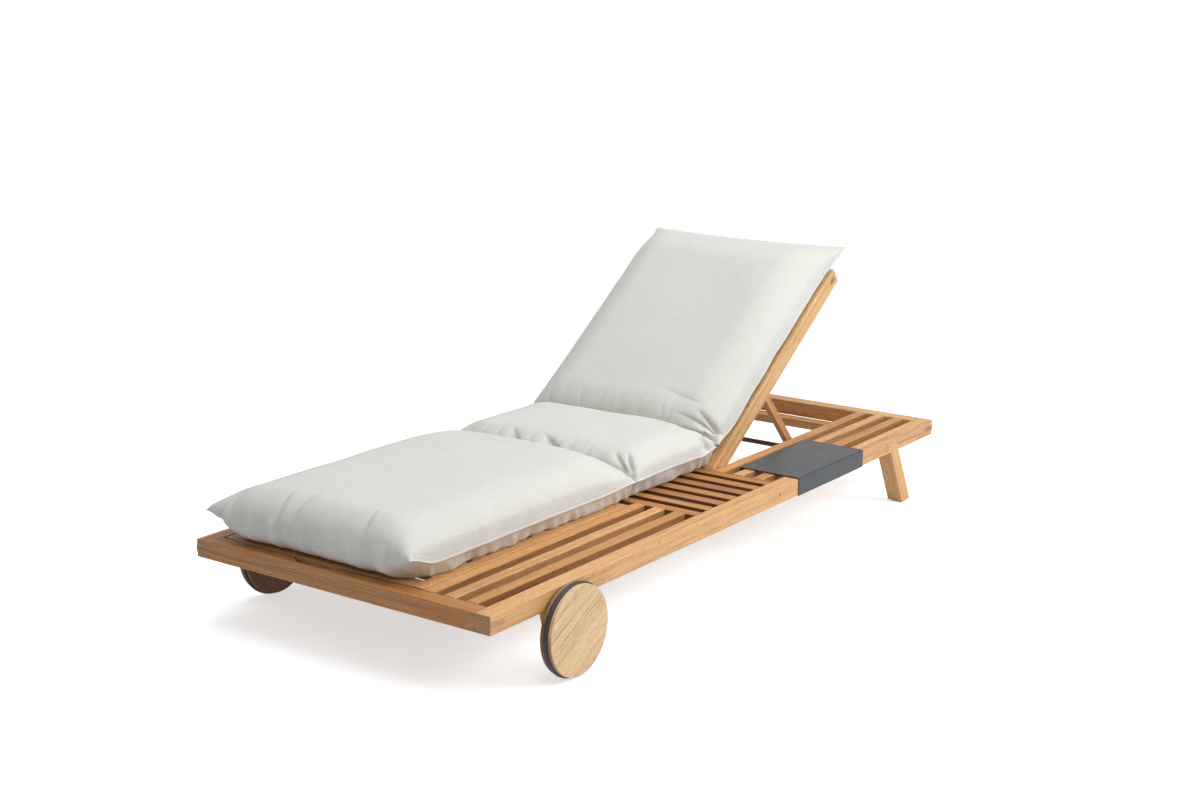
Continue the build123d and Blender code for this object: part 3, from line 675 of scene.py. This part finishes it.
@dataclass
class MattressSection:
    """One section of the mattress: a cover of two panels sewn at the edges over a soft filling."""

    name: str
    node: str
    plane: BedPlane
    left: float
    right: float
    start: SectionEnd
    end: SectionEnd
    crown: float
    side_seam: float
    folds: tuple[Fold, ...] = ()
    # The outline in plan: its sides draw in, its seams wander and its free ends bow out
    draw_in: float = 5 * MM
    wander: float = 3 * MM
    wander_waves: float = 13
    bow: float = 9 * MM
    bow_fade: int = 6
    corner_reach: float = 70 * MM
    # The top panel's rise from its side seams, and its lumps
    side_roll: float = 118 * MM
    side_plump: float = 2.0
    edge_fullness: float = 0.95
    lump: float = 5 * MM
    lump_waves: float = 5
    # The flat lip along the seams, and the flange under it
    lip: float = 3 * MM
    lip_thickness: float = 1.6 * MM
    flange: float = 8 * MM
    # The under panel's way down to the bed
    side_tuck: float = 24 * MM
    corner_tuck: float = 80 * MM
    flank_power: float = 0.9
    # The pleats of the under panel, and how they slant and crinkle
    pleat_depth: float = 13 * MM
    pleat_waves: Pair = (15, 5)
    crinkle_waves: Pair = (34, 8)
    pleat_slant: float = 0.7
    pleat_share: float = 1.4
    crinkle_share: float = 0.6
    pleat_top_share: float = 0.96
    foot_top_share: float = 1.4
    foot_depth_share: float = 6
    foot_stretch: float = 3
    # The gathers beside the cross seams
    pucker_depth: float = 5 * MM
    pucker_reach: float = 45 * MM
    pucker_waves: Pair = (22, 5)
    pucker_width_share: float = 0.25
    # The mesh, with its cells crowded towards the seams
    cells_across: int = 96
    cell: float = 7 * MM
    crowding: float = 0.45
    same_place: float = 0.01 * MM

    @property
    def length(self) -> float:
        """How long the section is from end to end."""
        return self.end.run - self.start.run

    @property
    def width(self) -> float:
        """How wide the section is between its side seams."""
        return self.right - self.left

    def crowd(self, share: float) -> float:
        """Moves evenly spaced shares towards nought and one, where the seams need more cells."""
        return share - self.crowding * sin(2 * pi * share) / (2 * pi)

    def gaps(self, across: float, along: float) -> Triple:
        """Gives the distances from the nearer side seam, the start and the end."""
        return min(across, 1 - across) * self.width, along * self.length, (1 - along) * self.length

    def seam_gap(self, across: float, along: float) -> float:
        """Measures to the nearest sewn seam, which a folded end isn't.

        Args:
            across: The share of the way from left to right.
            along: The share of the way from start to end.
        Returns:
            The distance.
        """
        side, *gaps = self.gaps(across, along)
        ends = zip((self.start, self.end), gaps)
        return min([side, *(gap for end, gap in ends if end.close is not Close.FOLD)])

    def outline(self, across: float, along: float) -> Triple:
        """Places a point of the cover in plan.

        Args:
            across: The share of the way from left to right.
            along: The share of the way from start to end.
        Returns:
            Its place across, its run, and the height of the seam there.
        """
        side = 2 * across - 1
        reach = self.draw_in * -4 * along * (1 - along)
        seam = self.side_seam
        run = self.start.run + along * self.length
        _, start_gap, end_gap = self.gaps(across, along)
        for end, gap, way in ((self.start, start_gap, 1), (self.end, end_gap, -1)):
            near = exp(-(gap / self.corner_reach) ** 2)
            corner = 1 if side > 0 else 0
            reach += near * end.tips[corner]
            seam += (1 - ease(gap / end.roll)) * (end.height - self.side_seam)
            seam += near * end.tip_rises[corner] * abs(side) ** 4
            if end.close is not Close.SEAM:
                run += way * (1 - side * side) * self.bow * (1 - gap / self.length) ** self.bow_fade
        reach += self.wander * noise.noise(Vector((side, run * self.wander_waves, self.crown * WANDER_SEED)))
        x = (self.left + self.right) / 2 + side * (self.width / 2 + reach)
        return x, run, seam

    def pucker(self, x: float, run: float) -> float:
        """Gathers the top panel beside the cross seams.

        Args:
            x: The place across.
            run: The run along the section's plane.
        Returns:
            How far the panel sinks there.
        """
        across_waves, along_waves = self.pucker_waves
        sink = 0.0
        for end in (self.start, self.end):
            gap = abs(run - end.run)
            if end.close is Close.SEAM:
                waves = abs(noise.noise(Vector((x * across_waves, run * along_waves, end.run * PUCKER_SEED))))
                sink += max(0.0, 1 - waves / self.pucker_width_share) ** 2 * exp(-gap / self.pucker_reach)
        return self.pucker_depth * sink

    def pleat(self, place: float, level: float) -> float:
        """Pleats the under panel.

        Args:
            place: The way along the edge that it hangs from.
            level: The height over the bed.
        Returns:
            How far the panel stands out there.
        """
        slant = place + self.pleat_slant * level
        along, up = self.pleat_waves
        broad = noise.noise(Vector((slant * along, level * up, self.side_seam * PLEAT_SEED)))
        along, up = self.crinkle_waves
        fine = 0.5 - abs(noise.noise(Vector((slant * along, level * up, CRINKLE_PLACE)))) * 2
        return self.pleat_depth * (self.pleat_share * broad + self.crinkle_share * fine)

    def point(self, across: float, along: float, top: bool) -> Vector:
        """Places a point of the top or bottom panel.

        Args:
            across: The share of the way from left to right.
            along: The share of the way from start to end.
            top: Whether the point is on the top panel.
        Returns:
            The point, in the frame's axes.
        """
        x, run, seam = self.outline(across, along)
        side_gap, start_gap, end_gap = self.gaps(across, along)
        side = 2 * across - 1
        if top:
            share = min(side_gap / self.side_roll, 1.0)
            full = (1 - (1 - share) ** self.side_plump) ** (1 / self.side_plump)
            full *= self.edge_fullness + (1 - self.edge_fullness) * (1 - side * side)
            full *= self.start.swell(start_gap, side) * self.end.swell(end_gap, side)
            lump = self.lump * noise.noise(
                Vector((x * self.lump_waves, run * self.lump_waves, self.crown * LUMP_SEED)))
            opened = ease((self.seam_gap(across, along) - self.lip) / (2 * self.lip))
            height = seam + (self.crown - seam + lump) * full * opened + self.lip_thickness / 2
        else:
            tuck = self.side_tuck
            for end, gap in ((self.start, start_gap), (self.end, end_gap)):
                if end.close is Close.FOLD:
                    tuck += self.corner_tuck * exp(-(gap / self.corner_reach) ** 2)
            under = clamp((side_gap - self.flange) / (tuck - self.flange))
            flank = (1 - under) ** self.flank_power
            ends = (1 - self.start.lift(start_gap, side)) * (1 - self.end.lift(end_gap, side))
            height = (seam - self.lip_thickness / 2) * (1 - (1 - flank) * ends)
        if min(side_gap, start_gap, end_gap) < self.same_place:
            height = seam
        return self.plane.place(x, run, max(height, 0.0))

    def cover(self) -> Object:
        """Cuts and sews the cover: two grids joined round their edge, with a UV map in metres.

        Returns:
            The section's object, with its faces pointing outwards.
        """
        rows = int(self.length / self.cell)
        form = bmesh.new()
        uv = form.loops.layers.uv.new("cloth")
        gap_layer = form.verts.layers.float.new("seam_gap")
        for top in (True, False):
            sheet = bmesh.ops.create_grid(form, x_segments=self.cells_across, y_segments=rows, size=0.5)
            faces = {face for vert in sheet["verts"] for face in vert.link_faces}
            shares = {}
            for vert in sheet["verts"]:
                across, along = self.crowd(vert.co.x + 0.5), self.crowd(vert.co.y + 0.5)
                shares[vert] = (across, along)
                vert.co = self.point(across, along, top)
                rise = self.plane.read(vert.co)[1] - self.outline(across, along)[2]
                vert[gap_layer] = hypot(self.seam_gap(across, along), rise)
            for face in faces:
                for loop in face.loops:
                    across, along = shares[loop.vert]
                    loop[uv].uv = (across * self.width, self.start.run + along * self.length)
            if not top:
                bmesh.ops.reverse_faces(form, faces=list(faces))
        bmesh.ops.remove_doubles(form, verts=form.verts, dist=self.same_place)
        mesh = bpy.data.meshes.new(self.name)
        form.to_mesh(mesh)
        form.free()
        return add_object(self.name, mesh)

    def gather(self, piece: Object) -> None:
        """Pleats the under panel where it hangs from its seam to the bed, at the sides and a folded end.

        Args:
            piece: The section's object.
        """
        for vert in piece.data.vertices:
            run, height = self.plane.read(vert.co)
            x = vert.co.x
            side = 1 if 2 * x > self.left + self.right else -1
            side_gap = min(x - self.left, self.right - x)
            level = clamp(height / self.side_seam)
            if side_gap < 2 * self.side_tuck and level < self.pleat_top_share:
                near = ease(2 - side_gap / self.side_tuck)
                for end in (self.start, self.end):
                    if end.close is Close.FOLD:
                        near *= ease(abs(run - end.run) / self.corner_tuck)
                x += side * near * ease((1 - level) * 2) * self.pleat(run, height)
            for end, way in ((self.start, -1), (self.end, 1)):
                gap = abs(run - end.run)
                level = clamp(height / (self.foot_top_share * end.height))
                if end.close is Close.FOLD and gap < end.roll and level < 1:
                    near = ease(side_gap / self.corner_tuck)
                    depth_share = self.foot_depth_share * near * level * (1 - level)
                    run += way * depth_share * self.pleat(x, height / self.foot_stretch)
            vert.co = self.plane.place(x, run, height)

    def crease(self, piece: Object) -> None:
        """Presses the section's folds and gathers into its top panel.

        Args:
            piece: The section's object.
        """
        gaps = piece.data.attributes["seam_gap"].data
        normals = [vert.normal.copy() for vert in piece.data.vertices]
        for vert in piece.data.vertices:
            run, height = self.plane.read(vert.co)
            if height < self.side_seam + 2 * self.lip_thickness:
                continue
            sink = self.pucker(vert.co.x, run) + sum(fold.sink(vert.co.x, run) for fold in self.folds)
            sink *= ease(gaps[vert.index].value / (4 * self.lip))
            vert.co -= normals[vert.index] * sink

    def smooth(self, piece: Object) -> None:
        """Divides the cover once and shades it smooth.

        Args:
            piece: The section's object.
        """
        finer = piece.modifiers.new("finer", "SUBSURF")
        finer.levels = finer.render_levels = 1
        depsgraph = bpy.context.evaluated_depsgraph_get()
        mesh = bpy.data.meshes.new_from_object(piece.evaluated_get(depsgraph), depsgraph=depsgraph)
        piece.modifiers.remove(finer)
        piece.data = mesh
        mesh.name = self.name
        for polygon in mesh.polygons:
            polygon.use_smooth = True

    def build(self) -> Object:
        """Makes the finished section.

        Returns:
            The section's object.
        """
        piece = self.cover()
        self.gather(piece)
        self.smooth(piece)
        self.crease(piece)
        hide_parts(self.node)
        return piece


@dataclass
class Mattress:
    """The three sections, sewn to each other across the two seams where the bed folds."""

    deck: float
    hinge_y: float
    hinge_z: float
    leg_seam_y: float
    tilt: float
    left: float
    right: float
    foot: float
    finish: Linen = Linen()
    leg_crown: float = 131 * MM
    seat_crown: float = 118 * MM
    back_crown: float = 103 * MM
    leg_side_seam: float = 40 * MM
    seat_side_seam: float = 45 * MM
    back_side_seam: float = 13 * MM
    foot_height: float = 60 * MM
    leg_seam_height: float = 46 * MM
    back_seam_run: float = 68 * MM
    back_seam_height: float = 36 * MM
    top_seam_height: float = 27 * MM
    back_end: float = 850 * MM
    # Unused: how far from their seams the leg and seat sections would bend with the panels
    leg_bend: float = 190 * MM
    seat_bend: float = 170 * MM
    seam_stays: float = 2 * MM

    def sections(self) -> tuple[MattressSection, MattressSection, MattressSection]:
        """Works out the leg, seat and back sections from the bed.

        Returns:
            The three sections, from the foot end.
        """
        flat = BedPlane(0.0, self.deck)
        face = self.deck - self.hinge_z
        raised = BedPlane(
            self.hinge_y - face * sin(self.tilt), self.hinge_z + face * cos(self.tilt), self.tilt)
        fold_run, fold_height = flat.read(raised.place(0.0, self.back_seam_run, self.back_seam_height))
        sides = {"left": self.left, "right": self.right}
        leg = MattressSection(
            "mattress_leg_cover", "mattress_leg", flat, **sides,
            start=SectionEnd(self.foot, self.foot_height, Close.FOLD, roll=88 * MM, tuck=72 * MM,
                             tips=(8 * MM, 0.0), tip_rises=(9 * MM, 9 * MM)),
            end=SectionEnd(self.leg_seam_y, self.leg_seam_height, Close.SEAM, roll=150 * MM, tuck=14 * MM,
                           side_spread=1.6),
            crown=self.leg_crown, side_seam=self.leg_side_seam, folds=Fold.from_rows(LEG_FOLDS, self.foot))
        seat = MattressSection(
            "mattress_seat_cover", "mattress_seat", flat, **sides,
            start=SectionEnd(self.leg_seam_y, self.leg_seam_height, Close.SEAM, roll=90 * MM, tuck=14 * MM),
            end=SectionEnd(fold_run, fold_height, Close.SEAM, roll=72 * MM, tuck=30 * MM,
                           tip_rises=(5 * MM, -9 * MM)),
            crown=self.seat_crown, side_seam=self.seat_side_seam, folds=Fold.from_rows(SEAT_FOLDS),
            edge_fullness=0.92, pleat_depth=15 * MM)
        back = MattressSection(
            "mattress_back_cover", "mattress_back", raised, **sides,
            start=SectionEnd(self.back_seam_run, self.back_seam_height, Close.SEAM, roll=90 * MM,
                             tuck=30 * MM, tip_rises=(4 * MM, -7 * MM)),
            end=SectionEnd(self.back_end, self.top_seam_height, Close.THIN, roll=160 * MM, tuck=24 * MM,
                           tips=(0.0, 18 * MM)),
            crown=self.back_crown, side_seam=self.back_side_seam, folds=Fold.from_rows(BACK_FOLDS))
        return leg, seat, back

    def build(self) -> None:
        """Makes the sections, dresses them and hangs the back section on the backrest."""
        leg, seat, back = self.sections()
        pieces = {}
        for section in (leg, seat, back):
            pieces[section.name] = section.build()
            dress(pieces[section.name], self.finish.material(f"linen_{section.node}"))
        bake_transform(pieces[leg.name])
        fold = seat.plane.place(0.0, seat.end.run, seat.end.height)
        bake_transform(pieces[seat.name])
        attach(pieces[back.name], "backrest")


@dataclass
class Timbers:
    """Every teak piece of the frame, the backrest, the leg rest and their props."""

    frame: dict
    tilt: float
    prop_lean: float = radians(-48.9)
    leg_lean: float = radians(116.4)
    inner_disc_turn: float = radians(-60)
    outer_disc_turn: float = radians(28)
    knot_run: float = 150 * MM
    knot_drop: float = 20 * MM
    finish: Teak = Teak()
    pale: Teak = Teak(tones=(TeakTone("E7C79B", "D3AB7C", "AC8156"),
                             TeakTone("E8C8A0", "D4AC7E", "A67A4E")))
    fair: Teak = Teak(tones=(TeakTone("E6BC86", "D2A068", "A97644"),))
    # A dark copy of the teak for the wheels' inner discs, which face inwards: painted shade
    brown: Teak = Teak(tones=(TeakTone("8E5F38", "70472A", "4C2F1A"),))
    # The seat slats and the shelf bars carry painted shade on their upright faces, in the gaps between them
    deep: Teak = Teak(tones=(TeakTone("CC9050", "A86C38", "6E4220"),
                             TeakTone("C2844A", "9C6232", "653C1C")), gap_shade_share=0.8)
    bars: Teak = Teak(gap_shade_share=0.35)
    foot: Teak = Teak(tones=(TeakTone("BE8448", "9C6230", "603616"),), end_light="C39A6B", end_dark="A57E54")

    def cut(self, name: str, run: Run, board: int, pitch: float = 0.0,
            knot: Triple | None = None, finish: Teak | None = None) -> None:
        """Dresses one timber as a board of its own.

        Args:
            name: The timber's node.
            run: Which way its grain runs.
            board: Its board's number.
            pitch: How far its grain rises towards the head end, in radians.
            knot: The place of a pin knot, if it has one.
            finish: Its teak, where it isn't the frame's.
        """
        teak = finish or self.finish
        dress(self.frame["nodes"][name], teak.material(f"teak_{name}", run, pitch, board, knot))

    def build(self) -> None:
        """Dresses all the timbers. Their board numbers only pick a tone and a part of the figure."""
        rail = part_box("side_rail_right")[1]
        knot = (rail.x, self.knot_run, rail.z - self.knot_drop)
        self.cut("side_rail_left", Run.ALONG, 2)
        self.cut("side_rail_right", Run.ALONG, 3, knot=knot)
        self.cut("foot_rail", Run.ACROSS, 6, finish=self.foot)
        self.cut("head_rail", Run.ACROSS, 5)
        for index in range(1, 4):
            self.cut(f"shelf_bar_foot_{index}", Run.ALONG, 7 + index, finish=self.bars)
            self.cut(f"shelf_bar_head_{index}", Run.ALONG, 11 + index, finish=self.bars)
        for index in range(1, 8):
            self.cut(f"seat_slat_{index}", Run.ACROSS, 14 + 3 * index, finish=self.deep)
        for side, board in (("left", 0), ("right", 1)):
            self.cut(f"support_batten_{side}", Run.ALONG, 40 + board)
            self.cut(f"head_leg_{side}", Run.ALONG, 43 + 4 * board, pitch=self.leg_lean)
            self.cut(f"wheel_bracket_{side}", Run.ALONG, 45 + board, pitch=pi / 2)
            self.cut(f"backrest_stile_{side}", Run.ALONG, 48 + board, pitch=self.tilt, finish=self.fair)
            self.cut(f"leg_rest_stile_{side}", Run.ALONG, 52 + board)
            self.cut(f"prop_arm_{side}", Run.ALONG, 56 + board, pitch=self.prop_lean)
            self.cut(f"leg_prop_arm_{side}", Run.ALONG, 58 + board)
            wheel = f"wheel_{side}"
            # The inner discs take the dark copy of the teak, with its painted shade
            self.cut(f"{wheel}_inner_disc", Run.ALONG, 60 + board, self.inner_disc_turn, finish=self.brown)
            self.cut(f"{wheel}_outer_disc", Run.ALONG, 63 + board, self.outer_disc_turn, finish=self.pale)
        for index, name in enumerate(("foot_cross_batten", "head_cross_batten", "backrest_end_rail",
                                      "backrest_low_rail", "backrest_slats", "leg_rest_end_rail",
                                      "leg_rest_low_rail", "leg_rest_slats")):
            self.cut(name, Run.ACROSS, 66 + index)


@dataclass
class Hardware:
    """The tyres, the tray and its glides, the props' rods, and the bushes, screws, pins and bolts."""

    frame: dict
    rubber: Moulded = Moulded("262B30", roughness=(0.54, 0.7))
    black_nylon: Moulded = Moulded("1C1D1F", roughness=(0.42, 0.58))
    white_nylon: Moulded = Moulded("D8D5CC", roughness=(0.37, 0.53))
    coat: PowderCoat = PowderCoat()
    steel: BrushedSteel = BrushedSteel()
    # Teak darkened to how it looks in deep shadow, for the props' rods: painted shade
    painted_shade_teak: Teak = Teak(tones=(TeakTone("6E4228", "55301C", "3C2012"),))

    def build(self) -> None:
        """Dresses each piece with its own finish."""
        finishes = {
            "rubber": (self.rubber, ("wheel_left_tyre", "wheel_right_tyre")),
            "black_nylon": (self.black_nylon, ("leg_glides", "tray_glides")),
            "white_nylon": (self.white_nylon, ("axle_bushes",)),
            "powder_coat": (self.coat, ("tray",)),
            "steel": (self.steel, ("batten_screws", "hinge_pins", "backrest_prop_pins", "leg_rest_prop_pins",
                                   "axle_bolt_left", "axle_bolt_right")),
            "dark_teak_rod": (self.painted_shade_teak, ("prop_rod", "leg_prop_rod")),
        }
        for name, (finish, nodes) in finishes.items():
            material = finish.material(name)
            for node in nodes:
                dress(self.frame["nodes"][node], material)


@dataclass(frozen=True)
class Lamp:
    """A square soft lamp that faces the lounger: its place and side in metres and its power in watts."""

    name: str
    place: Triple
    side: float
    power: float
    target: Triple = (0.0, 0.0, 0.2)

    def build(self) -> None:
        """Hangs the lamp."""
        data = bpy.data.lights.new(self.name, "AREA")
        data.shape = "SQUARE"
        data.size = self.side
        data.energy = self.power
        lamp = add_object(self.name, data)
        lamp.location = self.place
        lamp.rotation_euler = (Vector(self.target) - Vector(self.place)).to_track_quat("-Z", "Y").to_euler()


@dataclass
class Studio:
    """A pale floor, soft lamps and the camera, which stands where the photograph was taken from."""

    floor_half: float = 9.0
    floor_colour: str = "EBF0F5"
    floor_roughness: float = 0.9
    floor_glow: float = 0.6
    shadow_reach: float = 1.3
    white_reach: float = 2.4
    reach_stretch: Triple = (1.0, 0.7, 1.0)
    world_light: float = 0.3
    camera_place: Triple = (2.768, -3.822, 1.564)
    camera_azimuth: float = 36.09
    camera_elevation: float = 13.73
    focal_length: float = 55.54
    lamps: tuple[Lamp, ...] = (
        Lamp("overhead_lamp", (0.5, -0.2, 4.2), side=4.0, power=122.0),
        Lamp("side_lamp", (3.7, 1.2, 2.6), side=2.6, power=106.0),
    )

    @staticmethod
    def straight_rays(tree: Tree, *more: str) -> Socket:
        """Tells the rays that the camera or a shine sends from the others.

        Args:
            tree: The node tree.
            more: The names of more kinds of ray to count with them.
        Returns:
            One for such a ray and nought for the others.
        """
        rays = add_node(tree, "LightPath")
        share = rays.outputs["Is Camera Ray"]
        for kind in ("Is Glossy Ray", *more):
            share = add_node(tree, "Math", {0: share, 1: rays.outputs[kind]}, operation="MAXIMUM").outputs[0]
        return share

    def floor(self) -> None:
        """Lays the floor, which shows near white to the camera and keeps its shadows."""
        form = bmesh.new()
        bmesh.ops.create_grid(form, x_segments=1, y_segments=1, size=self.floor_half)
        mesh = bpy.data.meshes.new("studio_floor")
        form.to_mesh(mesh)
        form.free()
        floor = add_object("studio_floor", mesh)
        material, tree, shader = new_material("studio_floor")
        output = shader.outputs["BSDF"].links[0].to_socket
        seen = self.straight_rays(tree)
        glow = add_node(tree, "Math", {0: seen, 1: self.floor_glow}, operation="MULTIPLY")
        fill(shader, {
            "Base Color": linear(self.floor_colour), "Roughness": self.floor_roughness,
            "Specular IOR Level": 0.0, "Emission Color": WHITE, "Emission Strength": glow})
        coords = add_node(tree, "TexCoord")
        oval = add_node(tree, "Mapping", {"Vector": coords.outputs["Object"], "Scale": self.reach_stretch})
        away = add_node(tree, "VectorMath", {0: oval}, operation="LENGTH")
        fade = add_node(tree, "MapRange", {
            "Value": away.outputs["Value"], "From Min": self.shadow_reach, "From Max": self.white_reach},
            interpolation_type="SMOOTHSTEP")
        white = add_node(tree, "Emission", {"Color": WHITE})
        far = add_node(tree, "Math", {0: fade, 1: seen}, operation="MULTIPLY")
        surface = add_node(tree, "MixShader", {0: far, 1: shader, 2: white})
        tree.links.new(surface.outputs[0], output)
        dress(floor, material)

    def world(self) -> None:
        """Surrounds the scene with a soft light that the camera sees as white."""
        world = bpy.data.worlds.new("studio")
        bpy.context.scene.world = world
        world.use_nodes = True
        tree = world.node_tree
        tree.nodes.clear()
        strength = add_node(tree, "MapRange", {
            "Value": self.straight_rays(tree, "Is Transmission Ray"), "To Min": self.world_light})
        surface = add_node(tree, "Background", {"Color": WHITE, "Strength": strength})
        add_node(tree, "OutputWorld", {"Surface": surface})

    def camera(self) -> None:
        """Stands the camera where the photograph was taken from."""
        data = bpy.data.cameras.new("camera")
        data.lens = self.focal_length
        data.dof.use_dof = False
        camera = add_object("camera", data)
        camera.location = self.camera_place
        camera.rotation_euler = Euler(
            (pi / 2 - radians(self.camera_elevation), 0.0, radians(self.camera_azimuth)))
        bpy.context.scene.camera = camera

    def build(self) -> None:
        """Sets up the whole studio."""
        bpy.context.scene.view_settings.view_transform = "Standard"
        self.camera()
        self.floor()
        self.world()
        for lamp in self.lamps:
            lamp.build()


def main() -> None:
    """Builds the lounger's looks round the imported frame."""
    logging.basicConfig(level=logging.INFO, format="%(name)s: %(message)s")
    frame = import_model()
    Studio().build()
    joints = {joint["name"]: joint for joint in frame["joints"]}
    backrest, leg_rest = joints["backrest_tilt"], joints["leg_rest_tilt"]
    tilt = radians(-backrest["range_deg"][0])
    Timbers(frame, tilt).build()
    Hardware(frame).build()
    seat_low, seat_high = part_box("mattress_seat")
    Mattress(
        deck=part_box("side_rail_right")[1].z + DECK_GAP,
        hinge_y=backrest["pos_m"][1],
        hinge_z=backrest["pos_m"][2],
        leg_seam_y=leg_rest["pos_m"][1] + SEAM_PAST_HINGE,
        tilt=tilt,
        left=seat_low.x + SIDE_INSET,
        right=seat_high.x - SIDE_INSET,
        foot=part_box("mattress_leg")[0].y,
    ).build()


if __name__ == "__main__":
    main()
